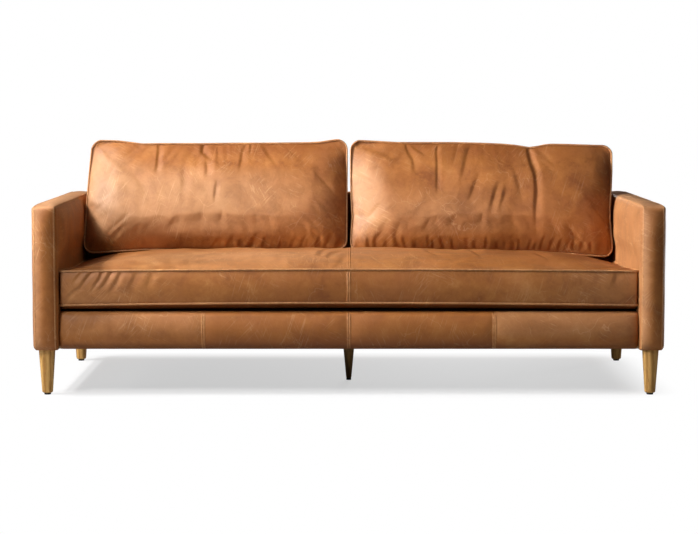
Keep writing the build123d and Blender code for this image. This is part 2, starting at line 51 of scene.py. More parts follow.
# shader helpers
objectOut, factorOut = 3, 2  # outputs of the Texture Coordinate and Attribute nodes


class Val:  # a socket that takes part in sums
    def __init__(self, paint, socket):
        self.paint, self.socket = paint, socket

    def sum(self, operation, first, second):
        return self.paint.node("ShaderNodeMath", {"operation": operation}, {0: first, 1: second})

    def __add__(self, other): return self.sum("ADD", self, other)
    def __radd__(self, other): return self.sum("ADD", other, self)
    def __sub__(self, other): return self.sum("SUBTRACT", self, other)
    def __rsub__(self, other): return self.sum("SUBTRACT", other, self)
    def __mul__(self, other): return self.sum("MULTIPLY", self, other)
    def __rmul__(self, other): return self.sum("MULTIPLY", other, self)
    def __pow__(self, other): return self.sum("POWER", self, other)


class Paint:  # one material
    def __init__(self, name):
        self.material = bpy.data.materials.new(name)
        self.material.use_nodes = True
        self.tree = self.material.node_tree
        self.shader = self.tree.nodes["Principled BSDF"]

    def put(self, socket, value):
        if isinstance(value, Val):
            self.tree.links.new(value.socket, socket)
        else:
            socket.default_value = value

    def node(self, kind, settings=None, inputs=None, output=0):
        made = self.tree.nodes.new(kind)
        for key, value in (settings or {}).items():
            setattr(made, key, value)
        for key, value in (inputs or {}).items():
            self.put(made.inputs[key], value)
        return Val(self, made.outputs[output])

    def feed(self, inputs):
        for key, value in inputs.items():
            self.put(self.shader.inputs[key], value)

    def coords(self, scale=(1, 1, 1), turn=(0, 0, 0)):
        place = self.node("ShaderNodeTexCoord", output=objectOut)
        turned = self.node("ShaderNodeMapping", {}, {"Vector": place, "Rotation": turn})
        return self.node("ShaderNodeMapping", {}, {"Vector": turned, "Scale": scale})

    def noise(self, vector, scale, detail=3, rough=0.55, warp=0.0):
        return self.node("ShaderNodeTexNoise", {}, {
            "Vector": vector, "Scale": scale, "Detail": detail, "Roughness": rough, "Distortion": warp})

    def band(self, value, low, high):  # 0 below low, 1 above high
        return self.node("ShaderNodeMapRange", {"interpolation_type": "SMOOTHSTEP"}, {
            "Value": value, "From Min": low, "From Max": high})

    def mix(self, share, first, second, blend="MIX"):  # 0, 6, 7 and 2 are the sockets for colours
        return self.node("ShaderNodeMix", {"data_type": "RGBA", "blend_type": blend}, {
            0: share, 6: first, 7: second}, 2)

    def bump(self, height, distance, strength=1.0, below=None):
        inputs = {"Height": height, "Distance": distance, "Strength": strength}
        if below:
            inputs["Normal"] = below
        return self.node("ShaderNodeBump", {}, inputs)


def rgb(red, green, blue):  # screen colour, 0 to 255, as linear light
    return tuple((c / 255 / 12.92) if c / 255 < 0.04045 else ((c / 255 + 0.055) / 1.055) ** 2.4
                 for c in (red, green, blue)) + (1.0,)


# leather
hideLook = {
    "deep": rgb(128, 72, 30), "tan": rgb(170, 106, 50), "pale": rgb(196, 137, 77), "rosy": rgb(179, 114, 67),
    # the pale tan pales the hide as wear and as painted highlight, the greyish brown is a painted sheen, and
    # the rich brown and the near-black brown are painted shade
    "wornAndLit": rgb(204, 157, 115), "sheen": rgb(158, 127, 106), "richShade": rgb(138, 76, 30),
    "scuff": rgb(228, 184, 136), "shadeColour": rgb(60, 29, 12), "rough": 0.55, "specular": 0.36,
    "cloud": 2.6, "blush": 5.5, "blotch": 13, "fleck": 95, "crinkle": 42, "grain": 620,  # noise scales
    "crinkleDepth": 0.0018, "grainDepth": 0.00022, "scuffMost": 1.5,
    "scratches": (  # turn, twist, scale along and scale across
        (0.8, 0.5, 1.6, 210), (-0.45, 1.1, 2.0, 260), (1.25, -0.6, 1.8, 230), (-1.1, -1.3, 2.2, 250)),
    "veins": ((0.6, 7.5, 0.009), (3.7, 4.5, 0.006)),  # turn, scale and thickness
}


def scuffPatches(p, turn, full):  # scratches and veins show in patches
    return p.band(p.noise(p.coords(turn=(turn * 3, 0, turn * 5)), 6, 3), 0.50, full)


def leatherPaint(name, look, wornAndLit=0.0, mottle=1.0):
    p = Paint(name)
    here = p.coords()
    cloud = p.noise(here, look["cloud"], 4, 0.6)
    blotch = p.noise(here, look["blotch"], 6, 0.62, 0.4)
    fleck = p.noise(here, look["fleck"], 4, 0.6)
    tone = 0.66 + (cloud * 0.5 + blotch * 0.72 + fleck * 0.2 - 0.68) * mottle
    # the wear note holds wear, painted highlight, painted sheen and painted shade; the seam note holds
    # painted shade
    wearAndLight = p.node("ShaderNodeAttribute", {"attribute_name": "wearAndLight"}, {}, factorOut)
    seam = p.node("ShaderNodeAttribute", {"attribute_name": "seam"}, {}, factorOut)
    colour = p.mix(p.band(tone, 0.48, 0.76), look["deep"], look["tan"])
    colour = p.mix(p.band(tone, 0.70, 0.94), colour, look["pale"])
    colour = p.mix(p.band(p.noise(here, look["blush"], 3), 0.48, 0.70) * 0.4, colour, look["rosy"])
    # the wear note above 0 pales the hide as wear and as painted highlight, above 1 greys it as a painted
    # sheen, and below 0 deepens it, mostly as painted shade
    colour = p.mix(p.band(wearAndLight, 0, 1) * (0.1 + blotch * 0.8), colour, look["wornAndLit"])
    colour = p.mix(p.band(wearAndLight, 1, 2) * (0.25 + blotch * 0.8), colour, look["sheen"])
    colour = p.mix(p.band(wearAndLight, 0, -1) * 0.7, colour, look["richShade"])
    scuffs = None
    for turn, twist, long, across in look["scratches"]:
        lines = p.noise(p.coords((long, across * 0.1, across), (0, turn, twist)), 1.0, 1, 0.4, 0.3)
        mask = scuffPatches(p, turn, 0.68)
        lines = p.band(lines, 0.58, 0.72) * mask
        scuffs = lines if scuffs is None else scuffs + lines
    bend = p.node("ShaderNodeTexNoise", {}, {"Vector": here, "Scale": 9, "Detail": 3}, 1)
    for turn, scale, thick in look["veins"]:
        bent = p.mix(0.9 / scale, p.coords(turn=(turn, turn * 1.3, turn * 0.7)), bend, "ADD")
        veins = p.node("ShaderNodeTexVoronoi", {"feature": "DISTANCE_TO_EDGE"}, {
            "Vector": bent, "Scale": scale})
        mask = scuffPatches(p, turn, 0.62)
        scuffs = scuffs + (1.0 - p.band(veins, thick * 0.3, thick)) * mask * 0.8
    scuffs = p.node("ShaderNodeMath", {"operation": "MINIMUM"}, {0: scuffs, 1: look["scuffMost"]})
    # the welt and seam paints also pale all over, as wear and as painted highlight
    colour = p.mix(scuffs * (0.17 + 0.16 * p.band(wearAndLight, 0, 0.7)) + wornAndLit * fleck, colour, look["scuff"])
    # painted shade: the seam note darkens the hide along the seams, on the undersides, at the apron's foot
    # and in shaded patches
    colour = p.mix(seam * 0.6, colour, look["shadeColour"])
    pebble = p.node("ShaderNodeTexVoronoi", {"feature": "SMOOTH_F1"}, {
        "Vector": here, "Scale": look["grain"]})
    crinkle = p.noise(here, look["crinkle"], 5, 0.62, 0.6)
    soft = p.bump(crinkle, look["crinkleDepth"], 0.5)
    p.feed({"Base Color": colour, "Roughness": look["rough"] + (blotch - 0.5) * 0.2 + scuffs * 0.05,
            "Normal": p.bump(pebble, look["grainDepth"], 0.5, soft), "Specular IOR Level": look["specular"]})
    return p.material


leather = leatherPaint("cognacLeather", hideLook, mottle=0.8)
frameLeather = leatherPaint("frameLeather", hideLook, mottle=0.6)
weltLeather = leatherPaint("weltLeather", hideLook, 0.5)
seamLeather = leatherPaint("seamLeather", hideLook, 0.2)


# wood
woodLook = {  # scales across and along the grain
    "fibre": (26.0, 1.5), "pores": (234.0, 5.0), "rings": (9.1, 0.525), "flecks": (572.0, 22.0),
    "fleckShade": 0.45, "specular": 0.4,
}


def grainCoords(p, layer, along):
    across, lengthwise = woodLook[layer]
    return p.coords(tuple(lengthwise if i == along else across for i in range(3)))


def woodPaint(name, dark, light, along=2, rough=0.58):
    p = Paint(name)
    fibre = p.noise(grainCoords(p, "fibre", along), 5.0, 6, 0.62, 0.5)
    pores = p.noise(grainCoords(p, "pores", along), 1.0, 3)
    rings = p.node("ShaderNodeTexWave", {"wave_type": "RINGS", "rings_direction": "XYZ"[along]}, {
        "Vector": grainCoords(p, "rings", along), "Scale": 2.2, "Distortion": 5.0, "Detail": 3.0})
    flecks = p.noise(grainCoords(p, "flecks", along), 1.0, 2)
    darkest = tuple(c * woodLook["fleckShade"] for c in dark[:3]) + (1.0,)
    colour = p.mix(p.band(fibre * 0.7 + rings * 0.3, 0.25, 0.75), dark, light)
    colour = p.mix(p.band(pores, 0.56, 0.70) * 0.45, colour, dark)
    colour = p.mix(p.band(flecks, 0.60, 0.70) * 0.55, colour, darkest)
    p.feed({"Base Color": colour, "Roughness": rough + (fibre - 0.5) * 0.15,
            "Normal": p.bump(pores + fibre * 0.4, 0.0002, 0.5), "Specular IOR Level": woodLook["specular"]})
    return p.material


oak = woodPaint("oak", rgb(172, 121, 57), rgb(226, 177, 102))
# the centre leg's wood: darker than the oak, and darkened in part as painted shade for its place under the
# sofa
darkWood = woodPaint("darkWoodAndShade", rgb(112, 80, 40), rgb(176, 132, 72))
frameTimber = woodPaint("frameTimber", rgb(190, 160, 118), rgb(226, 204, 166), 0, 0.6)
plywood = woodPaint("plywood", rgb(196, 166, 124), rgb(224, 200, 160), 0, 0.6)


# cloth, plastic and metal
def clothPaint(name, low, high, scale, depth, rough=0.9):
    p = Paint(name)
    here = p.coords()
    warp, weft = [p.node("ShaderNodeTexWave", {"bands_direction": way}, {
        "Vector": here, "Scale": scale, "Distortion": 0.6}) for way in "XY"]
    fuzz = p.noise(here, scale * 0.6, 4)
    weave = warp * 0.5 + weft * 0.5
    p.feed({"Base Color": p.mix(weave * 0.6 + fuzz * 0.4, low, high), "Roughness": rough,
            "Normal": p.bump(weave + fuzz * 0.5, depth, 0.6)})
    return p.material


def plainPaint(name, low, high, rough, metal=0.0, scale=240):
    p = Paint(name)
    here = p.coords()
    speck = p.noise(here, scale, 4)
    p.feed({"Base Color": p.mix(speck, low, high), "Roughness": rough + (speck - 0.5) * 0.16,
            "Normal": p.bump(speck, 0.0001, 0.4), "Metallic": metal})
    return p.material


deckCloth = clothPaint("deckCloth", rgb(46, 38, 32), rgb(70, 60, 52), 300, 0.0003)
dustCloth = clothPaint("dustCloth", rgb(18, 18, 18), rgb(36, 36, 36), 420, 0.0002)
padding = clothPaint("padding", rgb(222, 218, 206), rgb(244, 241, 232), 90, 0.001)
foam = plainPaint("foam", rgb(226, 212, 172), rgb(243, 234, 205), 0.95, 0, 900)
zipTape = clothPaint("zipTape", rgb(48, 28, 16), rgb(80, 50, 30), 520, 0.0003)
blackPlastic = plainPaint("blackPlastic", rgb(20, 20, 20), rgb(38, 38, 37), 0.5)
zincSteel = plainPaint("zincSteel", rgb(176, 176, 170), rgb(206, 206, 200), 0.35, 1.0)
springSteel = plainPaint("springSteel", rgb(92, 92, 95), rgb(128, 128, 130), 0.4, 1.0)
zipMetal = plainPaint("zipMetal", rgb(132, 106, 66), rgb(170, 140, 92), 0.36, 1.0)
slotPaint = {
    "leather": leather, "leather_welt": weltLeather, "oak": oak, "dark_wood": darkWood,
    "frame_timber": frameTimber, "plywood": plywood, "black_plastic": blackPlastic, "zinc_steel": zincSteel,
    "spring_steel": springSteel, "deck_cloth": deckCloth, "dust_cloth": dustCloth, "padding": padding,
    "foam": foam, "zip_tape": zipTape, "zip_metal": zipMetal,
}
for part in frame["record"]["subparts"]:
    mesh = nodes[part["node"]].data
    mesh.materials.clear()
    mesh.materials.append(slotPaint[part["material_slot"]])
print("materials done:", len(bpy.data.materials))


# mesh helpers
onFace = 0.999  # a grid point past this share lies on that face
weldGap = 1e-6


def finished(name, bm, paint, body, stands=()):
    bmesh.ops.recalc_face_normals(bm, faces=bm.faces)
    mesh = bpy.data.meshes.new(name)
    bm.to_mesh(mesh)
    bm.free()
    obj = bpy.data.objects.new(name, mesh)
    scene.collection.objects.link(obj)
    mesh.materials.append(paint)
    mesh.polygons.foreach_set("use_smooth", [True] * len(mesh.polygons))
    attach(obj, body)
    if stands:
        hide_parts(*stands)
    return obj


def gridBox(cells):  # a cube from -1 to 1, cut into cells along x, y and z
    bm = bmesh.new()
    bmesh.ops.create_cube(bm, size=2)
    for axis, count in enumerate(cells):
        along = [e for e in bm.edges if abs(e.verts[0].co[axis] - e.verts[1].co[axis]) > 1.9]
        bmesh.ops.subdivide_edges(bm, edges=along, cuts=count - 1)
    return bm


def tubePiece(name, points, radius, closed, paint, body, stands=()):
    curve = bpy.data.curves.new(name + "Line", "CURVE")
    curve.dimensions, curve.bevel_depth, curve.bevel_resolution = "3D", radius, 2
    curve.use_fill_caps = not closed
    line = curve.splines.new("POLY")
    line.points.add(len(points) - 1)
    for spot, place in zip(line.points, points):
        spot.co = (*place, 1)
    line.use_cyclic_u = closed
    holder = bpy.data.objects.new(name + "Line", curve)
    scene.collection.objects.link(holder)
    bpy.context.view_layer.update()
    mesh = bpy.data.meshes.new_from_object(holder.evaluated_get(bpy.context.evaluated_depsgraph_get()))
    bpy.data.objects.remove(holder)
    bm = bmesh.new()
    bm.from_mesh(mesh)
    bmesh.ops.remove_doubles(bm, verts=bm.verts, dist=weldGap)
    finished(name, bm, paint, body, stands)


def noteOn(obj, name, values):  # a number at each vertex, for the leather
    layer = obj.data.attributes.new(name, "FLOAT", "POINT")
    layer.data.foreach_set("value", np.asarray(values, dtype=np.float32))


def ripple(place, scale, seed):
    return noise.noise(Vector(place) * scale + Vector((seed, seed * 1.7, -seed)))


def smooth(value, low, high):
    t = min(1.0, max(0.0, (value - low) / (high - low)))
    return t * t * (3 - 2 * t)


def smoothAll(values, low, high):
    t = np.clip((values - low) / (high - low), 0, 1)
    return t * t * (3 - 2 * t)


def window(value, start, full, fade, end):
    return smooth(value, start, full) * (1 - smooth(value, fade, end))


def rayLine(start, end, steps, towards):  # evenly spaced places, each with the way to the surface
    return [(Vector(start).lerp(Vector(end), i / steps), towards) for i in range(steps + 1)]


# body sizes, as in the frame
half, armInner, legTop = 1.030, 0.952, 0.150
skinFront, skinRear, skinTop = -0.449, 0.449, 0.621
apronFront, apronTop, deckTop = -0.420, 0.277, 0.2785
lean = math.radians(12)


def insideY(z):
    return 0.325 - (0.622 - z) * math.tan(lean)


# arms
armSpec = {
    "cells": (20, 96, 60), "round": 0.010, "inner": 0.0055, "outer": 0.0015, "front": 0.0165, "top": 0.0068,
    "pillow": 0.009, "pillowHigh": (0.44, 0.50, 0.575, 0.618), "pillowLong": (-0.44, -0.33, 0.12, 0.22),
    "foot": 0.014, "footIn": 0.006, "footBack": 0.005, "wave": 0.0012,
    "seamIn": 0.005, "seamOut": 0.009, "seamLow": 0.003, "seamRear": 0.008, "turn": 0.030,
    # the arms' wear note is painted light: a painted sheen on the tops, painted light on the lit halves of
    # the fronts and on the right arm's inner face, and painted shade where the left arm's front turns in
    "wornAndLit": {"leftTop": 1.3, "rightTop": 1.0, "lit": 0.6, "inside": 0.5, "turned": 0.7, "edge": 0.012},
}
rayGap, rayFrom, seamThick = 0.2, 0.6, 0.002  # seam strips are laid by rays from outside the piece
# across and out of the surface
flatSeam = ((-0.0068, -0.0010), (-0.0055, 0.0007), (-0.0036, 0.0010), (-0.0012, 0.0006), (0.0, -0.0004),
            (0.0012, 0.0006), (0.0036, 0.0010), (0.0055, 0.0007), (0.0068, -0.0010))
narrowSeam = ((-0.0030, -0.0010), (-0.0019, 0.0007), (0.0, 0.0013), (0.0019, 0.0007), (0.0030, -0.0010))


def seamStrip(name, carrier, path, body, section=flatSeam, paint=seamLeather, stands=()):  # laid on a piece
    surface = BVHTree.FromObject(carrier, bpy.context.evaluated_depsgraph_get())
    bm = bmesh.new()
    across, along = len(section) - 1, len(path) - 1
    bmesh.ops.create_grid(bm, x_segments=across, y_segments=along, size=1)
    missed = []
    outward = Vector()
    for v in bm.verts:
        offset, rise = section[round((v.co.x + 1) / 2 * across)]
        place, towards = path[round((v.co.y + 1) / 2 * along)]
        spot, normal, _, _ = surface.ray_cast(Vector(place) + Vector((offset, 0, 0)), Vector(towards))
        if spot is None:
            missed.append(v)
        else:
            v.co = spot + normal * rise
            outward += normal
    bmesh.ops.delete(bm, geom=missed, context="VERTS")
    bmesh.ops.recalc_face_normals(bm, faces=bm.faces)
    bm.normal_update()
    facing = sum((f.normal for f in bm.faces), Vector())
    strip = finished(name, bm, paint, body, stands)
    thick = strip.modifiers.new("thick", "SOLIDIFY")
    thick.thickness, thick.offset = seamThick, -1 if facing.dot(outward) > 0 else 1
    return strip


def armPiece(side, hand):
    spec = armSpec
    bm = gridBox(spec["cells"])
    middle = (armInner + half) / 2
    centre = Vector((side * middle, (skinFront + skinRear) / 2, (legTop + skinTop) / 2))
    size = Vector(((half - armInner) / 2, (skinRear - skinFront) / 2, (skinTop - legTop) / 2))
    r = spec["round"]
    for v in bm.verts:
        a, b, c = v.co
        v.co = Vector((a * size.x, b * size.y, c * size.z))
        core = Vector([max(-s + r, min(s - r, q)) for q, s in zip(v.co, size)])
        out = v.co - core
        if c < -onFace:
            core.z, out.z = v.co.z, 0.0
        if out.length > 1e-7:
            v.co = core + out.normalized() * (r if c > -onFace else min(r, out.length))
        across, high, long = 1 - a * a, 1 - c ** 8, 1 - (b if b < 0 else b * 0.9) ** 10
        if abs(a) > onFace:
            swell = spec["inner"] if a * side < 0 else spec["outer"]
            v.co.x += math.copysign(swell * (1 - c ** 4) ** 0.6 * (1 - abs(b) ** 7) ** 0.6, a)
        if b < -onFace:
            v.co.y -= spec["front"] * across * high
        if c > onFace:
            v.co.z += spec["top"] * across * long
        v.co += centre
        if a * side < -onFace:  # the padding shows above the seat, in front of the back cushion
            v.co.x -= (side * spec["pillow"] * window(v.co.z, *spec["pillowHigh"])
                       * window(v.co.y, *spec["pillowLong"]))
        near = smooth(spec["foot"] - (v.co.z - legTop), 0, spec["foot"])  # rounded lower corner
        v.co.x -= side * spec["footIn"] * near ** 2 * smooth(a * side, 0.2, 1)
        v.co.y += spec["footBack"] * near ** 2 * smooth(-b, 0.9, 1)
        v.co.x += spec["wave"] * ripple(v.co, 9, side * 3.1) * high
        v.co.y += spec["wave"] * 0.6 * ripple(v.co, 12, side * 5.3)
        v.co.z += spec["wave"] * 0.6 * ripple(v.co, 12, side * 7.3) * (c > 0.5)
    arm = finished(hand + "Arm", bm, frameLeather, "frame", [
        hand + "_arm_" + layer for layer in ("inside_panel", "outside_panel", "boxing", "pad")])
    wornAndLit, wearAndLight = spec["wornAndLit"], []
    for v in arm.data.vertices:
        # painted light: sheen on the tops, light on the fronts' left halves and the right arm's inner face,
        # and painted shade at the left arm's inner front edge
        top = wornAndLit[hand + "Top"] * smooth(v.co.z, skinTop - wornAndLit["edge"], skinTop)
        front = smooth(-v.co.y, -skinFront - wornAndLit["edge"], -skinFront)
        lit = wornAndLit["lit"] * smooth(-v.co.x, -side * middle - 0.01, -side * middle + 0.03) * front
        inside = wornAndLit["inside"] * smooth(-v.co.x, -armInner - 0.01, -armInner) * (1 - front) * (side > 0)
        turned = wornAndLit["turned"] * smooth(v.co.x, -armInner - 0.035, -armInner) * front * (side < 0)
        wearAndLight.append(max(top, lit, inside) - turned * (top < 0.1))
    noteOn(arm, "wearAndLight", wearAndLight)
    return arm


def armSeam(x):  # up the front, round the corner and back along the top
    turn, low, rear = armSpec["turn"], legTop + armSpec["seamLow"], skinRear - armSpec["seamRear"]
    bend = Vector((x, skinFront + turn, skinTop - turn))
    before = skinFront - rayGap
    path = rayLine((x, before, low), (x, before, low + bend.z - legTop), 50, (0, 1, 0))[:-1]
    for i in range(13):
        t = math.pi / 2 * i / 12
        towards = Vector((0, math.cos(t), -math.sin(t)))
        path.append((bend - towards * rayGap, towards))
    top = rayLine((x, bend.y, skinTop + rayGap), (x, rear, skinTop + rayGap), 90, (0, 0, -1))
    return path + top[1:]


for side, hand in ((-1, "left"), (1, "right")):
    arm = armPiece(side, hand)
    for edge, x in (("Inner", armInner + armSpec["seamIn"]), ("Outer", half - armSpec["seamOut"])):
        seamStrip(hand + "Arm" + edge + "Welt", arm, armSeam(side * x), "frame", narrowSeam, weltLeather,
                  ["body_piping"])
print("arms done")


# back
backSpec = {"cells": (190, 14, 46), "round": 0.010, "tuck": 0.004, "wave": 0.0014}
rearSpec = {
    "cells": (200, 2, 46), "inset": 0.002, "deep": 0.003, "half": 0.0025, "swell": 0.0025, "wave": 0.0012,
    "weltIn": 0.0035, "weltDown": 0.0005, "corner": 0.014, "topWeltBack": 0.002,
}
bodyWelt = 0.0026


def backPiece():
    bm = gridBox(backSpec["cells"])
    r = backSpec["round"]
    for v in bm.verts:
        a, b, c = v.co
        z = (legTop + skinTop) / 2 + c * (skinTop - legTop) / 2
        front = insideY(max(z, deckTop))
        y = (front + skinRear) / 2 + b * (skinRear - front) / 2
        x = a * (armInner + backSpec["tuck"])
        if c > onFace or abs(b) > onFace:  # soften the two long top edges
            dz = max(0.0, z - (skinTop - r))
            dy = max(0.0, y - (skinRear - r)) if b > 0 else max(0.0, (front + r) - y)
            span = math.hypot(dz, dy)
            if dz > 0 and dy > 0 and span > r:
                z = skinTop - r + dz * r / span
                y = skinRear - r + dy * r / span if b > 0 else front + r - dy * r / span
        v.co = Vector((x, y, z))
        v.co.y += backSpec["wave"] * ripple(v.co, 6, 8.2)
        v.co.z += backSpec["wave"] * 0.5 * ripple(v.co, 6, 2.2) * (c > 0)
    finished("backBody", bm, frameLeather, "frame", [
        "back_inside_panel", "back_top_strip", "back_pad"])


def outsideBack():
    spec = rearSpec
    bm = gridBox(spec["cells"])
    for v in bm.verts:
        a, b, c = v.co
        v.co = Vector((a * (half - spec["inset"]), skinRear - spec["deep"] + b * spec["half"],
                       (legTop + skinTop) / 2 + c * (skinTop - legTop) / 2))
        if b > 0:
            v.co.y += spec["swell"] * (1 - a ** 8) * (1 - c ** 8) + spec["wave"] * ripple(v.co, 5, 4.4)
    panel = finished("outsideBack", bm, frameLeather, "frame", ["back_outside_panel"])
    return panel


def rearLine(spec):  # up one side, round the corner and along the top to the middle, then mirrored
    x, y, z = -half + spec["weltIn"], skinRear - spec["weltDown"], skinTop - spec["weltDown"]
    r = spec["corner"]
    line = [(x, y, legTop + (skinTop - r - legTop) * i / 40) for i in range(41)]
    for i in range(1, 9):
        t = math.pi / 2 * i / 8
        line.append((x + r * (1 - math.cos(t)), y, z - r + r * math.sin(t)))
    line += [((x + r) * (1 - i / 70), y, z) for i in range(1, 71)]
    return line + [(-x, y, z) for x, y, z in reversed(line[:-1])]


backPiece()
rearPanel = outsideBack()
tubePiece("rearWelt", rearLine(rearSpec), bodyWelt, False, weltLeather, "frame",
          ["body_piping"])
topY, topZ = insideY(skinTop) + rearSpec["topWeltBack"], skinTop - rearSpec["weltDown"]
tubePiece("backTopWelt", [(armInner * (i / 60 - 1), topY, topZ) for i in range(121)], bodyWelt,
          False, weltLeather, "frame", ["body_piping"])
print("back done")


# apron
apronSpec = {
    "cells": (240, 4, 22), "seams": (-0.476, 0.0, 0.476), "gap": 0.0005, "half": 0.0205, "low": 0.0045,
    "swell": 0.0190, "dip": 0.22, "tuck": 0.012, "wave": 0.0013, "crinkle": 0.0007,
    "tones": {"left": 0.3, "middle": -0.35, "right": 0.45}, "lowerShade": 0.7, "footShade": 0.45,
}


def apronPiece():
    spec = apronSpec
    bm = gridBox(spec["cells"])
    for v in bm.verts:
        a, b, c = v.co
        x = a * (armInner - spec["gap"])
        z = legTop + (c + 1) / 2 * (apronTop - spec["low"] - legTop)
        y = apronFront + spec["half"] + b * spec["half"]
        if b < 0:
            near, end = min(abs(x - s) for s in spec["seams"]), armInner - abs(x)
            ends = 1 - math.exp(-(end / 0.03) ** 2) * 0.5
            y -= spec["swell"] * (1 - c * c) * ends * (1 - spec["dip"] * math.exp(-(near / 0.02) ** 2))
            y += spec["tuck"] * (smooth(-c, 0.62, 1.0) ** 2 + smooth(c, 0.84, 1.0) ** 2)
            y += spec["tuck"] * math.exp(-(end / 0.007) ** 2)
            y += spec["wave"] * ripple((x, 0, z), 11, 6.6) + spec["crinkle"] * ripple((x, 0, z), 30, 2.6)
        v.co = Vector((x, y, z))
    piece = finished("apron", bm, frameLeather, "frame", ["front_apron", "front_apron_pad"])
    wearAndLight, shade = [], []
    for v in piece.data.vertices:
        up = (v.co.z - legTop) / (apronTop - legTop)
        panel = "left" if v.co.x < spec["seams"][0] else "right" if v.co.x > spec["seams"][2] else "middle"
        # the side panels paler and the middle one deeper; the lower half deepened and the foot darkened as
        # painted shade
        wearAndLight.append(spec["tones"][panel] - spec["lowerShade"] * smooth(-up, -0.5, 0.0))
        shade.append(spec["footShade"] * smooth(-v.co.z, -legTop - 0.035, -legTop))
    noteOn(piece, "wearAndLight", wearAndLight)
    noteOn(piece, "seam", shade)
    return piece


apron = apronPiece()
seamStrip("backSeam", rearPanel, rayLine(
    (0, rayFrom, legTop + 0.004), (0, rayFrom, skinTop - 0.006), 60, (0, -1, 0)), "frame")
for number, x in enumerate(apronSpec["seams"]):
    seamStrip("apronSeam" + str(number), apron, rayLine(
        (x, -rayFrom, legTop + 0.003), (x, -rayFrom, apronTop - 0.007), 30, (0, 1, 0)), "frame")
print("apron done")


# legs, turned smooth
legSpec = {
    "oak": {
        "bottom": 0.01775, "soften": 0.003, "bore": 0.0052, "boreDepth": 0.046, "paint": oak, "slot": "oak",
        "nodes": ("front_left_leg", "front_right_leg", "rear_left_leg", "rear_right_leg")},
    "dark": {
        "bottom": 0.0090, "soften": 0.0012, "bore": 0.0052, "boreDepth": 0.046, "paint": darkWood,
        "slot": "dark_wood", "nodes": ("centre_leg",)},
}


def legPiece(node, spec):
    low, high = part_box(node)
    x, y = (low[0] + high[0]) / 2, (low[1] + high[1]) / 2
    top, foot, soft = (high[0] - low[0]) / 2, spec["bottom"], spec["soften"]
    bore, deep = spec["bore"], high[2] - spec["boreDepth"]
    outline = [(0, low[2]), (foot - soft, low[2]), (foot, low[2] + soft), (top, high[2]), (bore, high[2]),
               (bore, deep), (0, deep)]
    bm = bmesh.new()
    line = [bm.verts.new((x + radius, y, z)) for radius, z in outline]
    edges = [bm.edges.new(pair) for pair in zip(line, line[1:])]
    bmesh.ops.spin(bm, geom=line + edges, cent=(x, y, 0), axis=(0, 0, 1), angle=math.tau, steps=64,
                   use_merge=True)
    bmesh.ops.remove_doubles(bm, verts=bm.verts, dist=weldGap)
    rim = [e for e in bm.edges if e.is_manifold and e.calc_face_angle(0) > 0.4
           and e.verts[0].co.z < low[2] + soft * 1.5]
    bmesh.ops.bevel(bm, geom=rim, offset=soft * 0.3, offset_type="OFFSET", affect="EDGES", segments=3,
                    profile=0.5, material=-1)
    leg = finished(node.title().replace("_", ""), bm, spec["paint"], "frame", [node])
    leg.data.set_sharp_from_angle(angle=math.radians(40))


for spec in legSpec.values():
    for node in spec["nodes"]:
        legPiece(node, spec)
print("legs done")


# deck under the seat cushion, and dust cover below the frame
deckSpec = {"cells": (150, 48, 2), "dip": 0.0016, "rows": 22, "rim": 0.004, "wave": 0.0006}
dustSpec = {"cells": (120, 48, 1), "sag": 0.006, "bays": 2, "wave": 0.0008}


def between(low, high, share):  # share runs from -1 to 1
    return Vector([(p + q) / 2 + t * (q - p) / 2 for p, q, t in zip(low, high, share)])


def deckPiece():
    low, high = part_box("seat_deck")
    bm = gridBox(deckSpec["cells"])
    for v in bm.verts:
        a, b, c = v.co
        v.co = between(low, high, (a, b, c))
        if c > -0.5:
            v.co.z -= deckSpec["dip"] * (0.5 - 0.5 * math.cos(math.pi * deckSpec["rows"] * a)) * (1 - b ** 6)
            v.co.z -= deckSpec["rim"] * max(abs(a) ** 120, abs(b) ** 60)
            v.co.z -= deckSpec["wave"] * (1 + ripple(v.co, 14, 3.1))
    finished("seatDeck", bm, deckCloth, "frame", ["seat_deck"])


def dustCover():
    low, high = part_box("dust_cover")
    bm = gridBox(dustSpec["cells"])
    for v in bm.verts:
        a, b, c = v.co
        v.co = between(low, high, (a, b, c))
        bay = abs(math.sin(math.pi * dustSpec["bays"] / 2 * a)) ** 0.7
        v.co.z -= dustSpec["sag"] * bay * (1 - b * b) * (1 - a ** 10)
        v.co.z -= dustSpec["wave"] * (1 + ripple(v.co, 8, 1.4)) * (1 - b ** 8) * (1 - a ** 10)
    sheet = finished("dustCover", bm, dustCloth, "frame", ["dust_cover"])


deckPiece()
dustCover()
print("deck and dust cover done")


# cushions
def cornerRound(x, y, wide, deep, r):
    u, v = (abs(x) - (wide - r)) / r, (abs(y) - (deep - r)) / r
    if u > 0 and v > 0:
        return (math.copysign(wide - r + r * u * math.sqrt(1 - v * v / 2), x),
                math.copysign(deep - r + r * v * math.sqrt(1 - u * u / 2), y))
    return x, y


def readOff(points, at):  # a value read off a line of (place, value) in mm
    return np.interp(at, [q[0] / 1000 for q in points], [q[1] / 1000 for q in points])


def lift(spec, a, b, t):  # the seat's seams bow: t is 0 at the lower seam, 1 at the upper
    low, high = [middle + (end - middle) * a * a for middle, end in spec["bow"]]
    drop = spec["endDrop"] * smooth(abs(a), 0.80, 1.0) * smooth(b, -1.0, 0.1) * t
    return low * (1 - t) + high * t - drop


def edgeShift(spec, x, y, a, b, depth):  # how the seams stray from a plain oblong
    edges = spec["edges"]
    x = (x + readOff(edges["left"], y) * max(0.0, -a) ** 1.5
         + readOff(edges["right"], y) * max(0.0, a) ** 1.5)
    y = y + depth * (readOff(edges["top"], x) * max(0.0, b) ** 1.5
                     + readOff(edges["bottom"], x) * max(0.0, -b) ** 1.5)
    return x, y


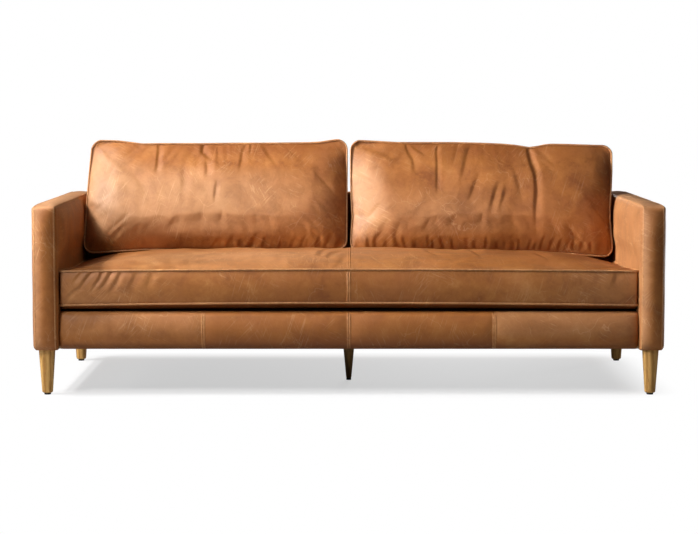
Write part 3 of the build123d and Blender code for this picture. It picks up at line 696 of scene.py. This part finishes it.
# seam lines and folds are in mm, the rest in m
coverSpec = {"underEnds": 0.012, "underSides": 0.055, "lowShift": 0.45, "endSwell": 0.2, "rollPower": 1.3}
level = {"left": ((-200, 0), (200, 0)), "right": ((-200, 0), (200, 0)), "top": ((-900, 0), (900, 0)),
         "bottom": ((-900, 0), (900, 0))}
seatSpec = {
    "cells": (210, 60, 14), "place": Matrix.Translation((0, -0.0831, 0.279)), "wide": 0.944, "deep": 0.3323,
    "drop": 0.024, "border": 0.107, "crown": 0.018, "barrel": 0.007, "belly": 0.0, "corner": 0.012,
    "bulge": 0.010, "roll": (0.15, 0.08, 0.06), "dense": 0.22, "bow": ((0, -0.008), (0.003, -0.0035)),
    "heel": 0.0, "endDrop": 0.018, "grow": 0.003, "pressure": 1.0, "cap": 0.010, "welt": 0.0036, "seed": 2,
    "topSeam": ((0, 0.243, 0.7), (0, -0.409, 0.7)), "frontSeam": ((0, -0.6, 0.307), (0, -0.6, 0.407)),
    "edges": dict(level, left=((-330, -4), (0, -1), (330, 0)), right=((-330, 4), (0, 1), (330, 0))),
    # wear spots, x, y and reach in mm and strength: pale wear where positive, painted shade where negative
    "wearAndLight": ((-150, -100, 700, 260, 0.4), (-500, -150, 400, 200, 0.3), (680, -50, 260, 330, -0.7)),
    "shade": (), "frontTone": (0.35, 0.4),
    "creases": [
        {"deep": 3, "wide": 9, "ridge": 2, "line": ((-98, -150), (-92, 0), (-65, 110), (-20, 170))},
        {"deep": 3, "wide": 9, "ridge": 2, "line": ((-69, -180), (-50, -75), (-14, 25))},
        {"deep": 2, "wide": 8, "ridge": 1, "line": ((-40, -300), (-9, -160))},
        {"deep": 4, "wide": 10, "ridge": 3, "line": ((262, 120), (272, 40), (300, -190))},
        {"deep": 4, "wide": 11, "ridge": 3, "line": ((420, 130), (428, 60), (446, -260))},
        {"deep": 3, "wide": 12, "ridge": 2, "line": ((630, 60), (640, -10), (676, -250))},
        {"deep": 9, "wide": 70, "ridge": 0, "line": ((950, 270), (100, 270))},
    ],
    "borderFolds": [
        {"deep": 3.6, "wide": 4.0, "ridge": 2.0, "line": ((-868, 131), (-905, 85))},
        {"deep": 4.2, "wide": 4.0, "ridge": 2.2, "line": ((-836, 131), (-860, 100), (-890, 60))},
        {"deep": 5.0, "wide": 4.0, "ridge": 2.4, "line": ((-804, 131), (-815, 105), (-845, 60))},
        {"deep": 3.6, "wide": 4.5, "ridge": 1.8, "line": ((-774, 131), (-800, 85), (-825, 55))},
        {"deep": 3.0, "wide": 5.0, "ridge": 1.5, "line": ((-742, 131), (-765, 85), (-785, 55))},
        {"deep": 1.6, "wide": 7.0, "ridge": 1.0, "line": ((-690, 131), (-720, 60))},
        {"deep": 1.6, "wide": 8.0, "ridge": 1.0, "line": ((-640, 131), (-665, 60))},
        {"deep": 3.0, "wide": 6.0, "ridge": 1.6, "line": ((-935, 25), (-895, 65), (-850, 85))},
        {"deep": 2.0, "wide": 8.0, "ridge": 1.0, "line": ((880, 131), (860, 70))},
    ],
    "zip": {"side": 1, "half": 0.555, "at": 0.0775, "floor": 0.3206},
}
backTurn = Matrix.Rotation(math.pi / 2 - lean, 4, "X")
leftSpec = {
    "cells": (130, 54, 16), "place": Matrix.Translation((-0.4735, 0.31805, 0.5915)) @ backTurn,
    "wide": 0.4685, "deep": 0.193, "drop": 0.022, "border": 0.128, "crown": 0.042, "barrel": 0.010,
    "belly": 0.012, "corner": 0.034, "bulge": 0.006, "roll": (0.042, 0.055, 0.036), "dense": 0.0,
    "bow": ((0, 0), (0, 0)), "heel": 0.022, "endDrop": 0.0, "grow": 0.006, "pressure": 2.0, "cap": 0.008,
    "welt": 0.0033, "seed": 4,
    "edges": {
        "left": ((-190, 2), (-124, 5), (-52, 9), (13, 13), (70, 17), (130, 22), (190, 27)),
        "right": ((-190, -3), (-16, -2.5), (190, -2)),
        "top": ((-468, 3), (-410, 5), (-350, 3.5), (-300, -2.5), (-265, -7.5), (-200, -6.5), (-50, -6.5),
                (50, -5), (200, -4.5), (330, -3), (370, -1), (400, 4), (430, 8), (468, 7)),
        "bottom": ((-468, -10), (-412, -10), (-340, -5), (-250, 0), (468, 0))},
    "creases": [
        {"deep": 3.6, "wide": 5.6, "ridge": 1.5, "line": ((-203, 190), (-204, 123), (-206, 94), (-211, 66))},
        {"deep": 4.2, "wide": 6.4, "ridge": 2.0, "line": ((-45, 190), (-47, 154), (-30, 137), (-4, 120))},
        {"deep": 3.1, "wide": 7.2, "ridge": 1.5, "line": ((-31, 125), (-27, 87), (-32, 48))},
        {"deep": 2.6, "wide": 4.8, "ridge": 1.0, "line": ((8, 52), (4, 15), (-2, -38))},
        {"deep": 2.6, "wide": 5.6, "ridge": 1.0, "line": ((98, 165), (93, 123), (85, 70))},
        {"deep": 2.6, "wide": 4.0, "ridge": 1.0, "line": ((124, 190), (123, 144))},
        {"deep": 2.6, "wide": 15, "ridge": 1.2, "line": (
            (-385, 148), (-317, 94), (-281, 65), (-248, 18), (-218, -45))},
        {"deep": 2.6, "wide": 11.2, "ridge": 1.5, "line": ((-440, 105), (-401, 51), (-372, 26), (-330, 4))},
        {"deep": 2.6, "wide": 5.6, "ridge": 1.0, "line": ((-292, 190), (-262, 165))},
        {"deep": 2.1, "wide": 9.6, "ridge": 1.0, "line": ((-115, 90), (-108, 40), (-118, -10))},
    ],
    "puckers": ((-440, -20, 10, 1.6, 0.2), (-20, 455, 20, 4.0, 0.55)),
    # wear spots, x, y and reach in mm and strength: pale wear and painted highlight where positive, a painted
    # sheen above 1, painted shade where negative; the shade spots are painted shade
    "wearAndLight": ((-150, -30, 330, 130, 1.0), (-405, 20, 85, 150, 1.1), (230, -20, 220, 130, 0.4),
             (30, 200, 300, 70, -1.0), (250, 190, 300, 60, -0.6), (50, -195, 420, 30, -0.8),
             (468, 20, 30, 170, -0.6)),
    "shade": ((50, -195, 440, 25, 0.1),),
    "zip": {"side": -1, "half": 0.325, "at": 0.086, "floor": -0.1717},
}
rightSpec = dict(
    leftSpec, place=Matrix.Translation((0.4735, 0.31805, 0.5915)) @ backTurn, seed=9,
    edges={
        "left": ((-190, 2), (-124, 5), (-73, 9), (-16, 5), (74, 3), (190, 2)),
        "right": ((-220, -7), (-175, -6), (-125, -10), (-75, -14), (-35, -13), (30, -8), (90, -5), (190, -4)),
        "top": ((-468, 2), (-440, 5), (-410, 4), (-370, 1.5), (-300, -2.5), (-100, -2.5), (0, -5), (70, -8),
                (117, -12), (140, -15.5), (170, -20.5), (200, -16.5), (224, -11), (250, -8.5), (310, -9.5),
                (400, -12.5), (468, -14)),
        "bottom": ((-468, -5), (200, -8), (308, -15), (396, -22), (468, -25))},
    creases=[
        {"deep": 4.8, "wide": 7.5, "ridge": 2.0, "line": (
            (165, 190), (175, 110), (188, 65), (191, 18), (187, -45), (186, -89), (190, -160))},
        {"deep": 2.6, "wide": 4.8, "ridge": 1.5, "line": ((-160, 165), (-159, 94), (-161, -10))},
        {"deep": 3.6, "wide": 11.2, "ridge": 1.5, "line": (
            (-440, 186), (-383, 166), (-332, 141), (-280, 112))},
        {"deep": 3.1, "wide": 8.0, "ridge": 1.5, "line": ((-266, 168), (-243, 124), (-240, 87), (-222, 66))},
        {"deep": 2.6, "wide": 5.6, "ridge": 1.0, "line": ((-248, 180), (-196, 138))},
        {"deep": 3.1, "wide": 9.6, "ridge": 1.5, "line": ((-46, 160), (-61, 101), (-80, 30))},
        {"deep": 3.1, "wide": 10.4, "ridge": 2.0, "line": ((-8, 75), (-33, 11), (-55, -50))},
        {"deep": 2.6, "wide": 8.0, "ridge": 2.0, "line": ((60, 52), (38, -21), (22, -96))},
        {"deep": 2.6, "wide": 7.2, "ridge": 2.0, "line": ((86, 34), (73, -17), (57, -66))},
        {"deep": 2.1, "wide": 8.8, "ridge": 1.5, "line": ((106, 118), (127, 33), (148, -52))},
        {"deep": 2.6, "wide": 8.0, "ridge": 1.5, "line": ((-468, 88), (-426, 72), (-365, 40))},
        {"deep": 2.6, "wide": 6.4, "ridge": 1.5, "line": ((-468, -62), (-437, -75), (-398, -85))},
    ],
    puckers=((-455, 60, 15, 4.4, -0.1), (60, 455, 14, 2.4, 0.25)),
    # wear spots: pale wear and painted highlight where positive, painted shade where negative; the shade
    # spots are painted shade
    wearAndLight=((468, 40, 40, 170, -1.0), (-425, 10, 75, 160, 0.95), (-160, -80, 300, 110, 0.55),
          (60, 195, 420, 80, -1.0), (0, -195, 420, 36, -1.0)),
    shade=((460, 60, 34, 180, 0.55), (0, -195, 460, 28, 0.3)))


def gathers(spec):  # short folds that start in the bottom seam
    dice = random.Random(spec["seed"])
    made = []
    for start, end, count, deep, slant in spec.get("puckers", ()):
        for i in range(count):
            x = start + (end - start) * (i + dice.uniform(0.15, 0.85)) / count
            tall = dice.uniform(20, 56)
            made.append({
                "deep": deep * dice.uniform(0.5, 1.2), "wide": dice.uniform(4.5, 7.5), "ridge": deep * 0.4,
                "line": ((x, -190), (x + tall * (slant + dice.uniform(-0.25, 0.25)), -190 + tall))})
    return made


def foldField(x, y, folds):
    depth = np.zeros_like(x)
    for fold in folds:
        points = np.array(fold["line"]) / 1000
        steps = np.diff(points, axis=0)
        spans = np.hypot(steps[:, 0], steps[:, 1])
        nearest, place, side = np.full_like(x, 9.0), np.zeros_like(x), np.zeros_like(x)
        done = 0.0
        for start, step, span in zip(points, steps, spans):
            rx, ry = x - start[0], y - start[1]
            t = np.clip((rx * step[0] + ry * step[1]) / span ** 2, 0, 1)
            gap = np.hypot(rx - t * step[0], ry - t * step[1])
            close = gap < nearest
            nearest = np.where(close, gap, nearest)
            place = np.where(close, done + t * span, place)
            right = -1 if step[1] > 0 else 1  # the wall towards the light is the gentle one
            side = np.where(close, right * np.sign(step[0] * ry - step[1] * rx) * gap, side)
            done += span
        share = place / done
        start = 1.0 if abs(fold["line"][0][1]) > 125 else 0.0  # a fold that starts in a seam is full there
        fade = np.minimum(1, (1 - share) / 0.45) * np.minimum(1, start + share / 0.35)
        wide = fold["wide"] / 1000
        valley = -fold["deep"] / 1000 * np.exp(-(side / wide / np.where(side > 0, 1.9, 0.8)) ** 2)
        crest = fold["ridge"] / 1000 * (0.55 * np.exp(-((side + 2.0 * wide) / wide / 1.3) ** 2)
                                        + 0.35 * np.exp(-((side - 3.4 * wide) / wide / 2.0) ** 2))
        depth += fade * (valley + crest * (nearest < 7 * wide))
    return depth


clothSpec = {"quality": 3, "mass": 0.12, "stretch": 14, "shear": 5, "bend": 0.4, "frames": 20}


def settle(mesh, held, spec):  # lets the cover swell over its filling
    obj = bpy.data.objects.new("settling", mesh)
    scene.collection.objects.link(obj)
    obj.vertex_groups.new(name="held").add(held, 1.0, "REPLACE")
    cloth = obj.modifiers.new("swell", "CLOTH")
    settings, frames = cloth.settings, clothSpec["frames"]
    settings.quality, settings.mass = clothSpec["quality"], clothSpec["mass"]
    settings.tension_stiffness = settings.compression_stiffness = clothSpec["stretch"]
    settings.shear_stiffness, settings.bending_stiffness = clothSpec["shear"], clothSpec["bend"]
    settings.use_pressure = True
    settings.uniform_pressure_force = spec["pressure"]
    settings.shrink_min = -spec["grow"]
    settings.vertex_group_mass = "held"
    settings.effector_weights.gravity = 0
    cloth.collision_settings.use_collision = False
    cloth.point_cache.frame_start, cloth.point_cache.frame_end = 1, frames
    for number in range(1, frames + 1):
        scene.frame_set(number)
    moved = obj.evaluated_get(bpy.context.evaluated_depsgraph_get()).data
    for vertex, after in zip(mesh.vertices, moved.vertices):
        shift = after.co - vertex.co
        if shift.length > spec["cap"]:
            shift *= spec["cap"] / shift.length
        vertex.co = vertex.co + shift
    bpy.data.objects.remove(obj)
    scene.frame_set(1)


gridMarks = ("gridA", "gridB", "gridC")  # where a vertex lay on the first grid


def cushionMesh(name, spec):
    bm = gridBox(spec["cells"])
    marks = [bm.verts.layers.float.new(mark) for mark in gridMarks]
    wide, deep, cover = spec["wide"], spec["deep"], coverSpec
    low, high = spec["drop"], spec["drop"] + spec["border"]
    held = []
    for i, v in enumerate(bm.verts):
        a, b, c = v.co
        a *= 1 + spec["dense"] * (1 - a * a)
        for mark, value in zip(marks, (a, b, c)):
            v[mark] = value
        x, y = cornerRound(a * wide, b * deep, wide, deep, spec["corner"])
        t = (c + 1) / 2
        ends, sides = (wide - abs(x)) / spec["roll"][0], (deep - abs(y)) / spec["roll"][1 if b > 0 else 2]
        full = (1 - math.exp(-ends ** cover["rollPower"])) * (1 - math.exp(-sides ** cover["rollPower"]))
        barrel = spec["barrel"] * (1 - a * a) * (1 - (b * b if b > 0 else b ** 4))
        x, y = edgeShift(spec, x, y, a, b, cover["lowShift"] + (1 - cover["lowShift"]) * t)
        if b < 0:
            y += -b * spec["heel"] * (1 - t)
        if c > onFace:
            z = high + spec["crown"] * full + barrel - spec["belly"] * b * (1 - b ** 8) * (1 - a ** 8)
        elif c < -onFace:
            inward = min(1.0, wide * (1 - abs(a)) / cover["underEnds"],
                         deep * (1 - abs(b)) / cover["underSides"])
            z = low - spec["drop"] * math.sin(math.pi / 2 * inward)
        else:
            z = low + (high - low) * t
            swell = spec["bulge"] * (1 - c * c)
            if abs(b) > onFace:
                y += math.copysign(swell, b)
            if abs(a) > onFace:
                x -= math.copysign(swell * cover["endSwell"], a)
        v.co = Vector((x, y, max(0.0, z + lift(spec, a, b, t))))
        edge = max(abs(a), abs(b)) > onFace
        if c < -onFace or (edge and c > onFace) or (b < -onFace and c < 0.4) or abs(a) > onFace:
            held.append(i)
    bmesh.ops.recalc_face_normals(bm, faces=bm.faces)
    mesh = bpy.data.meshes.new(name)
    bm.to_mesh(mesh)
    bm.free()
    settle(mesh, held, spec)
    rough = bpy.data.objects.new(name, mesh)
    scene.collection.objects.link(rough)
    finer = rough.modifiers.new("finer", "SUBSURF")
    finer.levels = finer.render_levels = 1
    fine = bpy.data.meshes.new_from_object(rough.evaluated_get(bpy.context.evaluated_depsgraph_get()))
    bpy.data.objects.remove(rough)
    return fine


def noiseAt(co, alongX, alongY, seed):
    return np.array([noise.noise(Vector((x * alongX, y * alongY, seed))) for x, y in co[:, :2]])


def spots(co, patches):  # soft patches on the face: centre, reach and strength
    return sum((much * np.exp(-((co[:, 0] * 1000 - x) / rx) ** 2 - ((co[:, 1] * 1000 - y) / ry) ** 2)
                for x, y, rx, ry, much in patches), np.zeros(len(co)))


def cushionPiece(name, spec, body, stands):
    mesh = cushionMesh(name, spec)
    co = np.empty(len(mesh.vertices) * 3)
    mesh.vertices.foreach_get("co", co)
    co = co.reshape(-1, 3)
    grid = np.empty((3, len(co)))
    for mark, values in zip(gridMarks, grid):
        mesh.attributes[mark].data.foreach_get("value", values)
    a, b, c = grid
    onTop = np.clip((c - 0.93) / 0.07, 0, 1)
    seam = np.minimum(spec["wide"] * (1 - np.abs(a)), spec["deep"] * (1 - np.abs(b)))  # way to the seam
    ease = np.clip(seam / 0.010, 0, 1)
    folds = foldField(co[:, 0], co[:, 1], spec["creases"] + gathers(spec)) * ease * onTop
    waves = noiseAt(co, 9, 6, 3.3) * 0.0035 + noiseAt(co, 30, 22, 1.1) * 0.0011
    waves *= np.clip(seam / 0.05, 0, 1) * onTop
    waves += noiseAt(co, 55, 55, 5.5) * 0.0016 * np.exp(-seam / 0.016) * ease * onTop
    co[:, 2] += folds + waves
    hole = spec["zip"]  # the zip lies in a slot
    inside = np.clip((0.020 - np.abs(co[:, 2] - hole["at"])) / 0.005, 0, 1)
    inside *= np.clip((hole["half"] + 0.004 - np.abs(co[:, 0])) / 0.004, 0, 1) * (b * hole["side"] > 0.99)
    co[:, 1] += (hole["floor"] - co[:, 1]) * inside
    if "borderFolds" in spec:
        onFront = np.clip((-b - 0.97) / 0.03, 0, 1) * np.clip((1 - np.abs(c)) / 0.12, 0, 1)
        co[:, 1] -= foldField(co[:, 0], co[:, 2], spec["borderFolds"]) * onFront
    mesh.vertices.foreach_set("co", co.ravel())
    bm = bmesh.new()
    bm.from_mesh(mesh)
    bmesh.ops.transform(bm, matrix=spec["place"], verts=bm.verts)
    obj = finished(name, bm, leather, body, stands)
    under, out = c < -0.95, np.abs(co[:, 0])
    # the wear note: wear, painted highlight, painted sheen and painted shade from the spots, and painted
    # shade over the underside
    wearAndLight = np.clip(spots(co, spec["wearAndLight"]), -1, 2) * onTop - under
    if "frontTone" in spec:  # the border's ends are paler than its middle
        ends, middle = spec["frontTone"]
        wearAndLight += (b < -0.98) * (ends * smoothAll(out, 0.45, 0.85) - middle * smoothAll(0.55 - out, 0, 0.4))
    noteOn(obj, "wearAndLight", wearAndLight)
    # the seam note is painted shade: contact shade along the seams, shade on the underside and the shade
    # spots
    rim = np.maximum(seam, spec["border"] / 2 * (1 - np.abs(c)))
    shade = np.maximum(0.4 * under, spots(co, spec["shade"]) * onTop)
    noteOn(obj, "seam", np.maximum(np.exp(-rim / 0.0035), shade))
    return obj


def weltPath(spec, height):
    wide, deep, low = spec["wide"], spec["deep"], height == "low"
    z = spec["drop"] if low else spec["drop"] + spec["border"]
    steps = [i / 60 for i in range(-60, 61)]
    ring = [(t, -1) for t in steps] + [(1, t) for t in steps[1:]] + [(-t, 1) for t in steps[1:]]
    ring += [(-1, -t) for t in steps[1:-1]]
    points = []
    for a, b in ring:
        x, y = cornerRound(a * wide, b * deep, wide, deep, spec["corner"])
        x, y = edgeShift(spec, x, y, a, b, coverSpec["lowShift"] if low else 1.0)
        if low and b < 0:
            y += -b * spec["heel"]
        points.append(spec["place"] @ Vector((x * 1.001, y * 1.003, z + lift(spec, a, b, 0 if low else 1))))
    return points


def cushionWelts(name, spec, body):
    for height in ("low", "high"):
        tubePiece(name + height.title(), weltPath(spec, height), spec["welt"], True, weltLeather, body,
                  [body + "_piping"])


seat = cushionPiece("seatCushion", seatSpec, "seat_cushion", ["seat_cushion_cover", "seat_cushion_core"])
seamStrip("seatTopSeam", seat, rayLine(*seatSpec["topSeam"], 120, (0, 0, -1)), "seat_cushion")
seamStrip("seatFrontSeam", seat, rayLine(*seatSpec["frontSeam"], 30, (0, 1, 0)), "seat_cushion")
cushionWelts("seatWelt", seatSpec, "seat_cushion")
for hand, spec in (("left", leftSpec), ("right", rightSpec)):
    body = hand + "_back_cushion"
    cushionPiece(hand + "BackCushion", spec, body, [body + "_cover", body + "_core"])
    cushionWelts(hand + "BackWelt", spec, body)
print("cushions done")


# floor, light and camera
white = (1, 1, 1, 1)
floorSpec = {
    "size": 30, "bounce": (0.4, 0.4, 0.4, 1), "seen": (0.86, 0.86, 0.86, 1), "rough": 0.8, "specular": 0.1,
    "under": ((0, 0.0, 0.88), (1, 0.05, 0.36)), "white": 0.55, "fade": 0.23,  # axis, centre and half length
}


def stageFloor():  # white to the camera, apart from the shadow under the sofa
    spec = floorSpec
    bm = bmesh.new()
    bmesh.ops.create_grid(bm, x_segments=2, y_segments=2, size=spec["size"])
    mesh = bpy.data.meshes.new("floor")
    bm.to_mesh(mesh)
    bm.free()
    floor = bpy.data.objects.new("floor", mesh)
    scene.collection.objects.link(floor)
    p = Paint("paleFloor")
    ray = p.node("ShaderNodeLightPath")
    p.feed({"Base Color": p.mix(ray, spec["bounce"], spec["seen"]), "Roughness": spec["rough"],
            "Specular IOR Level": spec["specular"]})
    glow = p.node("ShaderNodeEmission", {}, {"Color": white, "Strength": 1.0})
    place = p.node("ShaderNodeTexCoord", output=objectOut)
    beside = []
    for axis, centre, reach in spec["under"]:
        off = p.node("ShaderNodeSeparateXYZ", {}, {0: place}, axis) - centre
        off = p.node("ShaderNodeMath", {"operation": "ABSOLUTE"}, {0: off}) - reach
        beside.append(p.node("ShaderNodeMath", {"operation": "MAXIMUM"}, {0: off, 1: 0.0}))
    far = (beside[0] * beside[0] + beside[1] * beside[1]) ** 0.5
    share = (spec["white"] + (1 - spec["white"]) * p.band(far, 0.0, spec["fade"])) * ray
    lit = Val(p, p.shader.outputs[0])
    both = p.node("ShaderNodeMixShader", {}, {0: share, 1: lit, 2: glow})
    p.tree.links.new(both.socket, p.tree.nodes["Material Output"].inputs[0])
    mesh.materials.append(p.material)


stageFloor()
worldLight = 0.07
world = bpy.data.worlds.new("studio")
scene.world = world
world.use_nodes = True
sky = world.node_tree
light, show = sky.nodes["Background"], sky.nodes.new("ShaderNodeBackground")
for shader, strength in ((light, worldLight), (show, 1.0)):  # the camera sees white
    shader.inputs[0].default_value, shader.inputs[1].default_value = white, strength
path, pick = sky.nodes.new("ShaderNodeLightPath"), sky.nodes.new("ShaderNodeMixShader")
for number, giver in enumerate((path, light, show)):
    sky.links.new(giver.outputs[0], pick.inputs[number])
sky.links.new(pick.outputs[0], sky.nodes["World Output"].inputs[0])

lamps = {
    "key": {"at": (-2.3, -0.5, 2.5), "to": (0, 0.1, 0.4), "size": 0.15, "power": 47},
    "far": {"at": (-4.0, -1.0, 4.2), "to": (0, 0.1, 0.4), "size": 0.3, "power": 125},
    "side": {"at": (-3.0, -0.9, 1.5), "to": (0.95, 0.1, 0.6), "size": 0.6, "power": 6.5, "spread": 35},
    "front": {"at": (-2.0, -2.2, 2.3), "to": (0, -0.2, 0.3), "size": 0.6, "power": 43},
    "low": {"at": (-3.3, -1.5, 1.1), "to": (0, -0.2, 0.3), "size": 0.7, "power": 15},
    "right": {"at": (2.2, -2.6, 2.6), "to": (0.2, -0.2, 0.3), "size": 1.0, "power": 11},
    "rear": {"at": (0.6, 3.4, 0.5), "to": (0.1, 0.4, 0.4), "size": 0.8, "power": 60},
    "rearRight": {"at": (3.0, 2.4, 0.45), "to": (1.0, 0, 0.35), "size": 0.6, "power": 26},
}
for name, lamp in lamps.items():
    data = bpy.data.lights.new(name, "AREA")
    data.shape, data.size, data.energy = "SQUARE", lamp["size"], lamp["power"]
    data.spread = math.radians(lamp.get("spread", 180))
    obj = bpy.data.objects.new(name, data)
    scene.collection.objects.link(obj)
    obj.location = lamp["at"]
    obj.rotation_euler = (Vector(lamp["to"]) - Vector(lamp["at"])).to_track_quat("-Z", "Y").to_euler()

cameraSpec = {"at": (0.0008, -6.7085, 0.9914), "down": 5.18, "lens": 99.72, "sensor": 36, "far": 100}
view = bpy.data.cameras.new("camera")
view.sensor_width, view.sensor_fit = cameraSpec["sensor"], "HORIZONTAL"
view.lens, view.clip_end = cameraSpec["lens"], cameraSpec["far"]
eye = bpy.data.objects.new("camera", view)
scene.collection.objects.link(eye)
eye.location = cameraSpec["at"]
eye.rotation_euler = (math.radians(90 - cameraSpec["down"]), 0, 0)
scene.camera = eye
scene.view_settings.view_transform = "Standard"
print("stage done")
